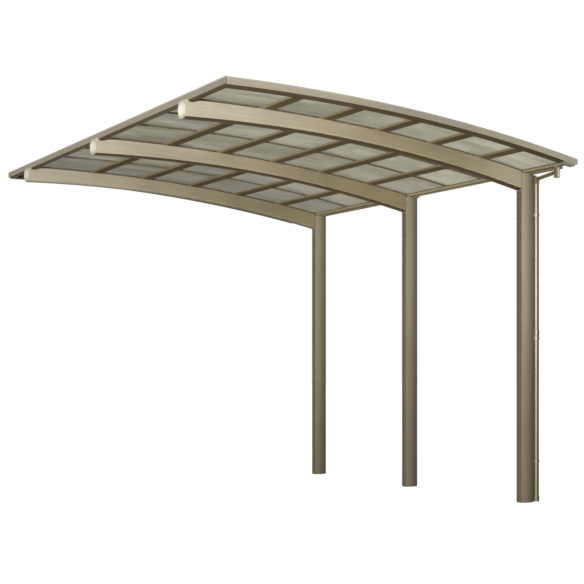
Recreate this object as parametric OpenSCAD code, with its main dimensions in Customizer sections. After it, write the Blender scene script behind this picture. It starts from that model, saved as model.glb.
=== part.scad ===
// Cantilever carport: one row of ground-set posts, curved beams, curved sheet roof.
// Millimetres, +Z up. The origin is on the ground under the middle post.
// The free edge of the roof lies towards -X, the far end towards +Y.

/* [Posts] */
// Post size across the roof
post_width = 130; // [90:1:180]
// Flat side of the post, along the roof
post_flat = 60; // [40:1:100]
// How far the rounded front and back stand out
post_bulge = 20; // [8:1:35]
// Thickness of the plate between post and gutter
post_plate = 4; // [2:1:12]
// How far that plate stays inside the post width
plate_inset = 6; // [2:1:15]

/* [Beams] */
// Level of the beam underside at the posts
headroom = 2497; // [2000:1:3000]
// Beam depth at the posts
beam_root = 147; // [100:1:220]
// Beam length from the post centre to the end of its cap
beam_reach = 3065; // [2400:5:3600]
// Beam thickness along the roof
beam_width = 76; // [50:1:120]
// Radius of the beam top and of the roof
roof_radius = 15570; // [9000:10:25000]
// Distance from the free end of a beam to the highest point of its top
crest_in = 591; // [200:1:1500]
// Radius of the beam underside
under_radius = 12400; // [7000:10:20000]
// Distance from the free end of a beam to the highest point of its underside
under_in = 671; // [200:1:1500]
// Rounding of the lower edges of a beam
beam_round = 22; // [5:1:36]
// Length of the domed cap on a beam
beam_cap = 16; // [8:1:40]
// Thickness of the plate between beam and post
socket_plate = 8; // [4:1:20]
// How far that plate stays inside the beam outline
socket_inset = 8; // [4:1:20]

/* [Roof] */
// Roof length, near end to far end
roof_length = 4100; // [3200:10:6000]
// Distance from the roof end to the centre of the end post
end_overhang = 550; // [200:5:900]
// How far the beam caps stand out past the free edge
cap_out = 30; // [5:1:120]
// Distance of the verge end behind the post centre
roof_back = 2; // [0:1:150]
// Purlin width
purlin_width = 84; // [30:1:120]
// Purlin height
purlin_height = 17; // [12:1:25]
// Distance from the eave frame to the middle of the first purlin
first_bay = 569; // [200:1:700]
// Distance from the middle of the last purlin to the gutter
last_bay = 441; // [300:1:800]
// Width of a roof bar
bar_width = 30; // [20:1:60]
// Width of the web of a roof bar
bar_web = 6; // [4:1:12]
// Height of the lower flange of a roof bar
bar_flange = 5; // [3:0.5:10]
// Thickness of the roof sheet
panel_thick = 3; // [2:0.5:8]
// Room for the sheet beside a bar web
sheet_room = 1; // [0.5:0.5:4]
// Distance of the bar over a beam from the middle of the beam
bar_beside = 20; // [0:1:60]
// Distance between the bars of two narrow sheets
sheet_pitch = 460; // [300:1:700]

/* [Edges] */
// Width of the dark frame at the verges
frame_width = 55; // [30:1:90]
// Width of the dark frame at the eave
eave_width = 28; // [15:1:60]
// How far the edge frame hangs below the roof line
frame_drop = 16; // [10:1:40]
// Thickness of the pale edge cover
cover_wall = 10; // [9:1:20]
// How far the pale cover hangs below the roof line
cover_drop = 4; // [1:1:15]
// Height of the top of the pale cover above the roof line
cover_rise = 42; // [38:1:70]
// Rounding of the upper outer edge of the cover
cover_round = 5; // [3:0.5:5]
// Length of the rounded cap on a verge end
verge_cap = 18; // [10:1:21]

/* [Gutter] */
// Gutter width
gutter_width = 49; // [46:1:200]
// How far the gutter reaches past the verge covers, behind the verge caps
gutter_past = 8; // [0:1:15]
// Wall thickness of the gutter
gutter_wall = 3; // [2:0.5:6]
// How far the gutter floor lies below the roof line
gutter_sink = 2; // [1:1:40]
// Thickness of the gutter end plates
gutter_end = 6; // [3:1:15]
// How far bars and sheets reach over the gutter
sheet_over = 32; // [10:1:60]
// Distance from the roof end to the outlet
outlet_in = 182; // [100:1:400]
// Length of the outlet below the gutter
outlet_drop = 86; // [50:1:150]
// Outer size of the downpipe
pipe_size = 40; // [25:1:60]
// Outer size of the sloping tube
tube_size = 30; // [20:1:50]
// Distance from the gutter down to the middle of the tube
tube_below = 40; // [20:1:60]
// Fall of the sloping tube
tube_fall = 1; // [0:1:60]
// Wall thickness of the drain pieces
pipe_wall = 2.5; // [1.5:0.5:5]
// Gap between the downpipe and the post
pipe_stand = 13; // [4:1:60]
// Place of the downpipe in front of the post centre
pipe_front = 28; // [0:1:60]
// Gap between the downpipe and the ground
pipe_foot = 20; // [5:1:120]
// Height of a pipe clip
clip_height = 22; // [10:1:40]
// Thickness of a pipe clip
clip_wall = 3; // [2:0.5:6]
// Distance of the outer clips from the ends of the post
clip_end = 316; // [100:1:600]

/* [Hidden] */
$fn = 96;
arc_fn = 720;
seat = 0.1;
slack = 0.2;
trim = 1;
big = 9000;
post_depth = post_flat + 2 * post_bulge;
bulge_radius = (pow(post_width / 2, 2) + pow(post_bulge, 2)) / (2 * post_bulge);
half = roof_length / 2;
post_spacing = half - end_overhang;
post_y = [-post_spacing, 0, post_spacing];
face_x = -post_width / 2;
crest_out = beam_reach - crest_in;
under_out = beam_reach - under_in;
roof_cz = headroom + beam_root - sqrt(pow(roof_radius, 2) - pow(face_x + crest_out, 2));
under_cz = headroom - sqrt(pow(under_radius, 2) - pow(face_x + under_out, 2));
function roof_z(x) = roof_cz + sqrt(pow(roof_radius, 2) - pow(x + crest_out, 2));
function under_z(x) = under_cz + sqrt(pow(under_radius, 2) - pow(x + under_out, 2));
function roof_tilt(x) = asin((x + crest_out) / roof_radius);
function under_tilt(x) = asin((x + under_out) / under_radius);
beam_end = face_x - socket_plate - seat;
beam_start = -beam_reach + beam_cap + seat;
eave_out = beam_reach - cap_out;
bar_low = purlin_height + 2 * seat;
sheet_low = bar_low + bar_flange + seat;
sheet_top = sheet_low + panel_thick;
frame_top = sheet_low - seat;
frame_in = half - cover_wall - slack - frame_width;
eave_in = eave_out - cover_wall - slack - eave_width;
verge_start = -eave_out + cover_wall + 2 * trim;
run_y = frame_in - slack;
gutter_x1 = roof_back + gutter_past;
gutter_x0 = gutter_x1 - gutter_width;
gutter_floor = roof_z(gutter_x0) - gutter_sink;
gutter_lip = roof_z(gutter_x0) + purlin_height;
gutter_back = roof_z(gutter_x1) + cover_rise;
post_height = gutter_floor - post_plate;
purlin_first = eave_in - first_bay;
purlin_last = last_bay - gutter_x0;
purlin_pitch = (purlin_first - purlin_last) / 4;
sheet_x0 = -eave_in + slack;
sheet_x1 = gutter_x0 + sheet_over;
bar_y = [post_y[0] + bar_beside, post_y[0] + bar_beside + sheet_pitch,
         post_y[0] + bar_beside + 2 * sheet_pitch, post_y[1] + bar_beside,
         post_y[1] + bar_beside + sheet_pitch, post_y[1] + bar_beside + 2 * sheet_pitch,
         post_y[2] + bar_beside];
pipe_x = post_width / 2 + pipe_stand + pipe_size / 2;
pipe_y = -post_spacing - pipe_front;
outlet_x = gutter_x1 - gutter_width / 2;
outlet_y = -half + outlet_in;
outlet_low = gutter_floor - outlet_drop;
outlet_size = pipe_size + 2 * clip_wall;
tube_z0 = gutter_floor - tube_below;
tube_z1 = tube_z0 - tube_fall;
elbow_low = tube_z1 - pipe_size;
clip_z = [clip_end, (post_height - clip_height) / 2, post_height - clip_end - clip_height];

// Upright slab from y0 to y1 of the outline drawn in x and z
module along(y0, y1) {
    translate([0, y1, 0])
        rotate([90, 0, 0])
            linear_extrude(height = y1 - y0)
                children();
}

// Profile swept about a long axis, a0 degrees to one side of the top and a1 to the other
module arc_sweep(out, level, a0, a1) {
    translate([-out, 0, level])
        rotate([90, 0, 0])
            rotate([0, 0, 90]) {
                rotate_extrude(angle = -a1, $fn = arc_fn)
                    children();
                rotate_extrude(angle = -a0, $fn = arc_fn)
                    children();
            }
}

// Profile swept along the roof curve, from x0 over the crest to x1
module roof_sweep(x0, x1) {
    arc_sweep(crest_out, roof_cz, roof_tilt(x0), roof_tilt(x1))
        children();
}

// Part of a swept profile between two heights above the roof line
module strip(low, high, y0, y1) {
    translate([roof_radius + low, -y1])
        square([high - low, y1 - y0]);
}

module post(y) {
    color([0.56, 0.51, 0.42])
        translate([0, y, 0])
            linear_extrude(height = post_height)
                intersection() {
                    square([post_width, post_depth], center = true);
                    translate([0, bulge_radius - post_depth / 2])
                        circle(r = bulge_radius, $fn = 360);
                    translate([0, post_depth / 2 - bulge_radius])
                        circle(r = bulge_radius, $fn = 360);
                }
}

module post_near() {
    post(post_y[0]);
}

module post_middle() {
    post(post_y[1]);
}

module post_far() {
    post(post_y[2]);
}

module post_caps() {
    color([0.36, 0.32, 0.26])
        for (y = post_y)
            translate([plate_inset - post_width / 2, y - post_flat / 2, post_height])
                cube([post_width - 2 * plate_inset, post_flat, post_plate]);
}

// Beam body between two places along it: rounded lower part and upright upper part
module beam_body(x0, x1) {
    low = 2 * beam_round;
    intersection() {
        union() {
            arc_sweep(under_out, under_cz, under_tilt(x0 - low), under_tilt(x1 + low))
                translate([under_radius, 0])
                    union() {
                        translate([beam_round, -beam_width / 2])
                            square([low, beam_width]);
                        translate([0, beam_round - beam_width / 2])
                            square([low, beam_width - 2 * beam_round]);
                        translate([beam_round, beam_round - beam_width / 2])
                            circle(r = beam_round);
                        translate([beam_round, beam_width / 2 - beam_round])
                            circle(r = beam_round);
                    }
            along(-beam_width / 2, beam_width / 2)
                intersection() {
                    difference() {
                        translate([-crest_out, roof_cz])
                            circle(r = roof_radius, $fn = arc_fn);
                        translate([-under_out, under_cz])
                            circle(r = under_radius + low, $fn = arc_fn);
                    }
                    translate([x0 - low, 0])
                        square([x1 - x0 + 2 * low, big]);
                }
        }
        translate([x0, -beam_width, 0])
            cube([x1 - x0, 2 * beam_width, big]);
    }
}

module beam(y) {
    color([0.66, 0.61, 0.51])
        translate([0, y, 0])
            beam_body(beam_start, beam_end);
}

module beam_near() {
    beam(post_y[0]);
}

module beam_middle() {
    beam(post_y[1]);
}

module beam_far() {
    beam(post_y[2]);
}

module beam_end_caps() {
    x1 = -beam_reach + beam_cap;
    tall = roof_z(x1) - under_z(x1);
    bow = 1.5 * tall;
    color([0.9, 0.88, 0.8])
        for (y = post_y)
            translate([0, y, 0])
                intersection() {
                    translate([-beam_reach, -beam_width / 2, under_z(x1)])
                        cube([beam_cap, beam_width, tall - seat]);
                    translate([bow - beam_reach, beam_width, (roof_z(x1) + under_z(x1)) / 2])
                        rotate([90, 0, 0])
                            cylinder(r = bow, h = 2 * beam_width, $fn = 256);
                    translate([-beam_reach, 0, (roof_z(x1) + under_z(x1)) / 2])
                        rotate([0, 90, 0])
                            linear_extrude(height = beam_cap)
                                union() {
                                    square([tall - 2 * beam_round, beam_width], center = true);
                                    square([tall, beam_width - 2 * beam_round], center = true);
                                    for (a = [-1, 1], b = [-1, 1])
                                        translate([a * (tall / 2 - beam_round),
                                                   b * (beam_width / 2 - beam_round)])
                                            circle(r = beam_round);
                                }
                }
}

module beam_sockets() {
    color([0.36, 0.32, 0.26])
        for (y = post_y)
            translate([face_x - socket_plate, y - post_flat / 2, headroom + socket_inset])
                cube([socket_plate, post_flat, beam_root - 2 * socket_inset]);
}

module purlin(n) {
    x = -purlin_first + (n - 1) * purlin_pitch;
    color([0.42, 0.37, 0.29])
        translate([x, 0, roof_z(x)])
            rotate([0, roof_tilt(x), 0])
                translate([-purlin_width / 2, -run_y, seat])
                    cube([purlin_width, 2 * run_y, purlin_height]);
}

module purlin_1() {
    purlin(1);
}

module purlin_2() {
    purlin(2);
}

module purlin_3() {
    purlin(3);
}

module purlin_4() {
    purlin(4);
}

module purlin_5() {
    purlin(5);
}

module gutter() {
    color([0.6, 0.56, 0.46])
        difference() {
            union() {
                translate([gutter_x0, -run_y, gutter_floor])
                    cube([gutter_width, 2 * run_y, gutter_wall]);
                translate([gutter_x0, -run_y, gutter_floor])
                    cube([gutter_wall, 2 * run_y, gutter_lip - gutter_floor]);
                translate([gutter_x1 - gutter_wall, -run_y, gutter_floor])
                    cube([gutter_wall, 2 * run_y, gutter_back - gutter_floor]);
            }
            translate([outlet_x, outlet_y, gutter_floor - trim])
                cylinder(d = pipe_size - 2 * pipe_wall, h = gutter_wall + 2 * trim);
        }
}

module gutter_end_caps() {
    low = gutter_floor + gutter_wall + seat;
    color([0.5, 0.46, 0.38])
        for (y = [-run_y, run_y - gutter_end])
            translate([gutter_x0 + gutter_wall + slack, y, low])
                cube([gutter_width - 2 * gutter_wall - 2 * slack, gutter_end, gutter_lip - low - seat]);
}

module eave_frame() {
    z0 = roof_z(-eave_in);
    color([0.36, 0.32, 0.26])
        difference() {
            translate([-eave_in - eave_width, -run_y, z0 - frame_drop])
                cube([eave_width, 2 * run_y, frame_drop + frame_top]);
            for (y = post_y)
                translate([-eave_in - eave_width - trim, y - beam_width / 2 - trim, z0 - frame_drop - trim])
                    cube([eave_width + 2 * trim, beam_width + 2 * trim, frame_drop + trim + seat]);
        }
}

module eave_cover() {
    z0 = roof_z(-eave_in);
    z1 = z0 + cover_rise;
    color([0.6, 0.57, 0.49])
        difference() {
            union() {
                translate([-eave_out, -half, z0 - cover_drop])
                    cube([cover_wall, roof_length, cover_drop + cover_rise - cover_round]);
                translate([-eave_out + cover_round, -half, z1 - 2 * cover_round])
                    cube([cover_wall - cover_round, roof_length, 2 * cover_round]);
                translate([-eave_out + cover_round, half, z1 - cover_round])
                    rotate([90, 0, 0])
                        cylinder(r = cover_round, h = roof_length);
                translate([-eave_out + cover_round, -run_y, z0 + sheet_top + trim])
                    cube([eave_out - eave_in - cover_round, 2 * run_y, cover_rise - sheet_top - trim]);
            }
            for (y = post_y)
                translate([-eave_out - trim, y - beam_width / 2 - trim, z0 - frame_drop])
                    cube([cover_wall + 2 * trim, beam_width + 2 * trim, frame_drop + seat]);
        }
}

module verge_frame() {
    color([0.36, 0.32, 0.26])
        roof_sweep(verge_start, roof_back)
            strip(-frame_drop, frame_top, -half + cover_wall + slack, -frame_in);
}

module verge_cover() {
    low = sheet_top + slack;
    color([0.6, 0.57, 0.49])
        roof_sweep(verge_start, roof_back)
            union() {
                strip(-cover_drop, cover_rise - cover_round, -half, -half + cover_wall);
                strip(low, cover_rise, -half + cover_round, -frame_in);
                translate([roof_radius + cover_rise - cover_round, half - cover_round])
                    circle(r = cover_round);
            }
}

module near_verge_frame() {
    verge_frame();
}

module near_verge_cover() {
    verge_cover();
}

module far_verge_frame() {
    mirror([0, 1, 0])
        verge_frame();
}

module far_verge_cover() {
    mirror([0, 1, 0])
        verge_cover();
}

// The upper corner of a cap is rounded over its whole length, the lower one over half of it
module verge_end_caps() {
    tall = cover_drop + cover_rise;
    low = verge_cap / 2;
    color([0.6, 0.57, 0.49])
        for (s = [0, 1])
            mirror([0, s, 0])
                translate([roof_back, 0, roof_z(roof_back)])
                    rotate([0, roof_tilt(roof_back), 0])
                        along(-half, -frame_in)
                            translate([seat, -cover_drop])
                                union() {
                                    translate([0, low])
                                        square([verge_cap, tall - verge_cap - low]);
                                    intersection() {
                                        translate([0, tall - verge_cap])
                                            circle(r = verge_cap);
                                        translate([0, low])
                                            square([verge_cap, tall]);
                                    }
                                    square([low, verge_cap]);
                                    translate([low, low])
                                        circle(r = low);
                                }
}

module roof_bar(n) {
    y = bar_y[n - 1];
    color([0.4, 0.36, 0.29])
        roof_sweep(sheet_x0, sheet_x1)
            union() {
                strip(bar_low, bar_low + bar_flange, y - bar_width / 2, y + bar_width / 2);
                strip(bar_low, cover_rise - trim, y - bar_web / 2, y + bar_web / 2);
                strip(sheet_top + slack, cover_rise - trim, y - bar_width / 2, y + bar_width / 2);
            }
}

module roof_bar_1() {
    roof_bar(1);
}

module roof_bar_2() {
    roof_bar(2);
}

module roof_bar_3() {
    roof_bar(3);
}

module roof_bar_4() {
    roof_bar(4);
}

module roof_bar_5() {
    roof_bar(5);
}

module roof_bar_6() {
    roof_bar(6);
}

module roof_bar_7() {
    roof_bar(7);
}

module roof_panel(n) {
    side = bar_web / 2 + sheet_room;
    y0 = n == 1 ? -frame_in - frame_width / 2 : bar_y[n - 2] + side;
    y1 = n == 8 ? frame_in + frame_width / 2 : bar_y[n - 1] - side;
    color([0.62, 0.62, 0.55, 0.8])
        roof_sweep(sheet_x0, sheet_x1)
            strip(sheet_low, sheet_top, y0, y1);
}

module roof_panel_1() {
    roof_panel(1);
}

module roof_panel_2() {
    roof_panel(2);
}

module roof_panel_3() {
    roof_panel(3);
}

module roof_panel_4() {
    roof_panel(4);
}

module roof_panel_5() {
    roof_panel(5);
}

module roof_panel_6() {
    roof_panel(6);
}

module roof_panel_7() {
    roof_panel(7);
}

module roof_panel_8() {
    roof_panel(8);
}

module drain_outlet() {
    color([0.7, 0.66, 0.57])
        difference() {
            translate([outlet_x, outlet_y, outlet_low])
                cylinder(d = outlet_size, h = outlet_drop - seat);
            translate([outlet_x, outlet_y, outlet_low + clip_wall])
                cylinder(d = pipe_size - 2 * pipe_wall, h = outlet_drop);
        }
}

module drain_tube() {
    run = norm([pipe_x - outlet_x, pipe_y - outlet_y]);
    turn = atan2(pipe_y - outlet_y, pipe_x - outlet_x);
    color([0.66, 0.62, 0.53])
        difference() {
            union() {
                translate([outlet_x, outlet_y, tube_z0])
                    rotate([0, 0, turn])
                        rotate([0, 90 + atan2(tube_fall, run), 0])
                            cylinder(d = tube_size, h = run);
                translate([pipe_x, pipe_y, elbow_low])
                    cylinder(d = pipe_size + 2 * clip_wall, h = pipe_size + tube_size / 2 + clip_wall);
            }
            translate([outlet_x, outlet_y, outlet_low - big / 2])
                cylinder(d = outlet_size + 2 * seat, h = big);
            translate([pipe_x, pipe_y, elbow_low - trim])
                cylinder(d = pipe_size + 2 * seat, h = pipe_size + trim - tube_size / 2);
        }
}

module downpipe() {
    top = tube_z1 - tube_size / 2 - seat;
    color([0.74, 0.7, 0.61])
        difference() {
            translate([pipe_x, pipe_y, pipe_foot])
                cylinder(d = pipe_size, h = top - pipe_foot);
            translate([pipe_x, pipe_y, pipe_foot - trim])
                cylinder(d = pipe_size - 2 * pipe_wall, h = top - pipe_foot + 2 * trim);
        }
}

module pipe_clips() {
    side = pipe_size + 2 * clip_wall;
    color([0.5, 0.46, 0.38])
        for (z = clip_z)
            translate([0, pipe_y, z])
                difference() {
                    union() {
                        translate([pipe_x, 0, 0])
                            cylinder(d = side, h = clip_height);
                        translate([post_width / 2 + seat, -clip_wall, 0])
                            cube([pipe_stand + pipe_size / 2, 2 * clip_wall, clip_height]);
                        translate([post_width / 2 + seat, 0, 0])
                            cube([clip_wall, pipe_front + clip_height, clip_height]);
                    }
                    translate([pipe_x, 0, -trim])
                        cylinder(d = pipe_size + 2 * seat, h = clip_height + 2 * trim);
                }
}

post_near();
post_middle();
post_far();
post_caps();
beam_near();
beam_middle();
beam_far();
beam_end_caps();
beam_sockets();
purlin_1();
purlin_2();
purlin_3();
purlin_4();
purlin_5();
gutter();
gutter_end_caps();
eave_frame();
eave_cover();
near_verge_frame();
near_verge_cover();
far_verge_frame();
far_verge_cover();
verge_end_caps();
roof_bar_1();
roof_bar_2();
roof_bar_3();
roof_bar_4();
roof_bar_5();
roof_bar_6();
roof_bar_7();
roof_panel_1();
roof_panel_2();
roof_panel_3();
roof_panel_4();
roof_panel_5();
roof_panel_6();
roof_panel_7();
roof_panel_8();
drain_outlet();
drain_tube();
downpipe();
pipe_clips();
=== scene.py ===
"""Looks of the carport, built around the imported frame. Metres, same frame as the solids."""
import math

import bmesh
import bpy
from mathutils import Matrix, Vector


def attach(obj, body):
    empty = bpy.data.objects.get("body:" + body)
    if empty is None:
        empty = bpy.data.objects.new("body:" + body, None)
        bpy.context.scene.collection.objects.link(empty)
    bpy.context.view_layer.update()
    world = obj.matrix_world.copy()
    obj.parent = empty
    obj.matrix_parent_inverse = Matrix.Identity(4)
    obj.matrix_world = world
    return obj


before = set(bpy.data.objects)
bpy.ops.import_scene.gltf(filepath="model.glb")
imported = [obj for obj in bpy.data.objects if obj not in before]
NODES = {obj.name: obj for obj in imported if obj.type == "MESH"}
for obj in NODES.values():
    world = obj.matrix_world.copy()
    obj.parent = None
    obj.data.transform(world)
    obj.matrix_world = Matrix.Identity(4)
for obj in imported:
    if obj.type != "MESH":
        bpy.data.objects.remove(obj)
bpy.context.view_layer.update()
scene = bpy.context.scene
scene.view_settings.view_transform = "Standard"

# Sizes of the solids that the added pieces sit on
ROOF_RADIUS = 15.570
CREST_X = -2.474
ROOF_AT_POST = 2.644
ROOF_BACK = 0.002
HALF = 2.050
POST_Y = (-1.5, 0.0, 1.5)
POST_FACE = 0.065
POST_FLAT = 0.060
POST_DEPTH = 0.100
POST_TOP = 2.634
HEADROOM = 2.497
BEAM_WIDTH = 0.076
BEAM_REACH = 3.065
BEAM_ROUND = 0.022
UNDER_RADIUS = 12.400
UNDER_X = -2.394
SOCKET = 0.008
CAP_LENGTH = 0.016
EAVE_OUT = 3.035
EAVE_IN = 2.9968
COVER_WALL = 0.010
COVER_DROP = 0.004
COVER_RISE = 0.042
FRAME_IN = 1.9848
FRAME_DROP = 0.016
PURLIN_X = (-2.4278, -1.9409, -1.4539, -0.967, -0.480)
BAR_Y = (-1.48, -1.02, -0.56, 0.02, 0.48, 0.94, 1.52)
BAR_HALF = 0.015
BAR_TOP = 0.041
SHEET_LOW = 0.0223
SHEET_TOP = 0.0253
SHEET_X0 = -2.9966
SHEET_X1 = -0.007
GUTTER_X0 = -0.039
GUTTER_X1 = 0.010
GUTTER_FLOOR = 2.6379
GUTTER_STRAP = 2.6495
OUTLET_AT = (-0.0145, -1.868)
OUTLET_SIZE = 0.046
TUBE_Z = GUTTER_FLOOR - 0.040
TUBE_SIZE = 0.030
PIPE_AT = (0.098, -1.528)
PIPE_SIZE = 0.040
CLIP_Z = (0.316, 1.306, 2.296)

UNDER_CZ = HEADROOM - math.sqrt(UNDER_RADIUS ** 2 - (-POST_FACE - UNDER_X) ** 2)
ROOF_CZ = ROOF_AT_POST - math.sqrt(ROOF_RADIUS ** 2 - (-POST_FACE - CREST_X) ** 2)


def arc_point(x, y, up, middle_x, middle_z, radius):
    """Point at x on an arc about (middle_x, middle_z), raised along its normal."""
    s = (x - middle_x) / radius
    c = math.sqrt(1.0 - s * s)
    r = radius + up
    return Vector((middle_x + r * s, y, middle_z + r * c))


def roof_point(x, y, up):
    """Point on the roof line at x, raised along its normal."""
    return arc_point(x, y, up, CREST_X, ROOF_CZ, ROOF_RADIUS)


def under_point(x, y, up):
    """Point on the underside of a beam at x, raised along its normal."""
    return arc_point(x, y, up, UNDER_X, UNDER_CZ, UNDER_RADIUS)


def roof_frame(x, y, up):
    """Matrix whose z axis is the roof normal at x."""
    tilt = math.asin((x - CREST_X) / ROOF_RADIUS)
    return Matrix.Translation(roof_point(x, y, up)) @ Matrix.Rotation(tilt, 4, "Y")


# Camera: level, at the photograph's viewpoint
IMAGE = 584.0
FOCAL_PX = 1131.7
CENTRE_PX = (330.35, 370.15)
CAMERA_AT = (-6.385, -8.157, 1.059)
CAMERA_TURN = 0.5942
SENSOR = 36.0
CLIP_END = 200.0

cam_data = bpy.data.cameras.new("camera")
cam_data.sensor_width = SENSOR
cam_data.lens = FOCAL_PX / IMAGE * SENSOR
cam_data.shift_x = (IMAGE / 2 - CENTRE_PX[0]) / IMAGE
cam_data.shift_y = (CENTRE_PX[1] - IMAGE / 2) / IMAGE
cam_data.clip_end = CLIP_END
camera = bpy.data.objects.new("camera", cam_data)
camera.location = CAMERA_AT
camera.rotation_euler = (math.pi / 2, 0.0, -CAMERA_TURN)
scene.collection.objects.link(camera)
scene.camera = camera


# Node helpers
NOISE_ROUGH = 0.55
BEVEL_SAMPLES = 4
EDGE_RANGE = (0.75, 0.99)


def srgb(r, g, b):
    """Linear colour of an 8-bit screen colour."""
    def lin(c):
        c /= 255.0
        return c / 12.92 if c <= 0.04045 else ((c + 0.055) / 1.055) ** 2.4
    return (lin(r), lin(g), lin(b), 1.0)


def grey(v):
    return (v, v, v, 1.0)


def scaled(tone, factor, lift=0.0):
    """Tone made lighter or darker, kept within 1."""
    return tuple(min(1.0, c * factor + lift) for c in tone[:3]) + (1.0,)


def feed(tree, socket, value):
    """Links a socket, or sets its value."""
    if isinstance(value, bpy.types.NodeSocket):
        tree.links.new(value, socket)
    else:
        socket.default_value = value


def put(tree, kind, sockets=None, **props):
    """New shader node with its sockets fed and its properties set."""
    node = tree.nodes.new("ShaderNode" + kind)
    for key, value in props.items():
        setattr(node, key, value)
    for key, value in (sockets or {}).items():
        feed(tree, node.inputs[key], value)
    return node


def mix_colour(tree, fac, a, b, mode="MIX"):
    node = put(tree, "Mix", data_type="RGBA", blend_type=mode)
    feed(tree, node.inputs[0], fac)
    feed(tree, node.inputs[6], a)
    feed(tree, node.inputs[7], b)
    return node.outputs[2]


def times(tree, a, b):
    """Product of two colours."""
    return mix_colour(tree, 1.0, a, b, "MULTIPLY")


def ramp(tree, fac, *stops):
    """Colour ramp with (place, colour) stops."""
    node = put(tree, "ValToRGB", {"Fac": fac})
    band = node.color_ramp
    while len(band.elements) < len(stops):
        band.elements.new(0.5)
    for element, (place, colour) in zip(band.elements, stops):
        element.position = place
        element.color = colour
    return node.outputs["Color"]


def shade(tree, colour, fac, *stops):
    """Colour times a ramp of (place, level) stops."""
    return times(tree, colour, ramp(tree, fac, *((place, grey(v)) for place, v in stops)))


def spread(tree, value, low, high, a=0.3, b=0.7):
    """Maps value from a..b to low..high."""
    node = put(tree, "MapRange", {"Value": value, "From Min": a, "From Max": b,
                                  "To Min": low, "To Max": high})
    return node.outputs["Result"]


def place_on(tree, coord, axis, start, end):
    """0 at start and 1 at end of a stretch along one axis."""
    split = put(tree, "SeparateXYZ", {"Vector": coord})
    return spread(tree, split.outputs[axis], 0.0, 1.0, start, end)


def noise(tree, vector, scale, detail=3.0):
    node = put(tree, "TexNoise", {"Vector": vector, "Scale": scale, "Detail": detail,
                                  "Roughness": NOISE_ROUGH})
    return node.outputs["Fac"]


def stretched(tree, vector, axis, along, across):
    """Coordinates stretched along one axis, for marks that run that way."""
    scale = [across] * 3
    scale["XYZ".index(axis)] = along
    return put(tree, "Mapping", {"Vector": vector, "Scale": scale}).outputs["Vector"]


def cells(tree, vector):
    """A random colour for each box-shaped cell."""
    node = put(tree, "TexVoronoi", {"Vector": vector, "Scale": 1.0}, distance="CHEBYCHEV")
    return node.outputs["Color"]


def maths(tree, op, a, b=0.0, clamp=False):
    node = put(tree, "Math", operation=op, use_clamp=clamp)
    feed(tree, node.inputs[0], a)
    feed(tree, node.inputs[1], b)
    return node.outputs[0]


def dot(tree, a, b):
    """Dot product of two vectors."""
    node = put(tree, "VectorMath", operation="DOT_PRODUCT")
    feed(tree, node.inputs[0], a)
    feed(tree, node.inputs[1], b)
    return node.outputs["Value"]


def edge_mask(tree, reach):
    """About 1 on sharp outer edges, 0 on flat faces."""
    bevel = put(tree, "Bevel", {"Radius": reach}, samples=BEVEL_SAMPLES)
    flat = put(tree, "NewGeometry").outputs["Normal"]
    return spread(tree, dot(tree, bevel.outputs["Normal"], flat), 1.0, 0.0, *EDGE_RANGE)


def object_coord(tree):
    return put(tree, "TexCoord").outputs["Object"]


def bumped(tree, strength, distance, height):
    node = put(tree, "Bump", {"Strength": strength, "Distance": distance, "Height": height})
    return node.outputs["Normal"]


def join(tree, kind, first, second, sockets=None):
    """Two shaders added or mixed."""
    node = put(tree, kind, sockets)
    tree.links.new(first, node.inputs[-2])
    tree.links.new(second, node.inputs[-1])
    return node.outputs[0]


def material(name):
    mat = bpy.data.materials.new(name)
    mat.use_nodes = True
    mat.node_tree.nodes.clear()
    return mat, mat.node_tree


def finish_with(tree, shader):
    out = put(tree, "OutputMaterial")
    tree.links.new(shader, out.inputs["Surface"])


# Anodised metal: noise scales along and across the drawn lines, levels of each mark
LINE_SCALE = (1.6, 95.0)
BROAD_SCALE = (1.1, 6.0)
CLOUD_SCALE = 2.3
SPECK_SCALE = 420.0
WAVER_SCALE = 1.7
WAVER = 0.07
CLOUD_AT = (0.3, 0.52, 0.74)
LINE_LEVELS = ((0.25, 0.90), (0.75, 1.08))
BROAD_LEVELS = ((0.25, 0.93), (0.75, 1.06))
METAL_EDGE = 0.003
METAL_WORN = (1.35, 0.03)
METAL_BUMP = (0.14, 0.0006)
LINE_SHARE = 0.6
SPECK_SHARE = 0.4


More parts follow.
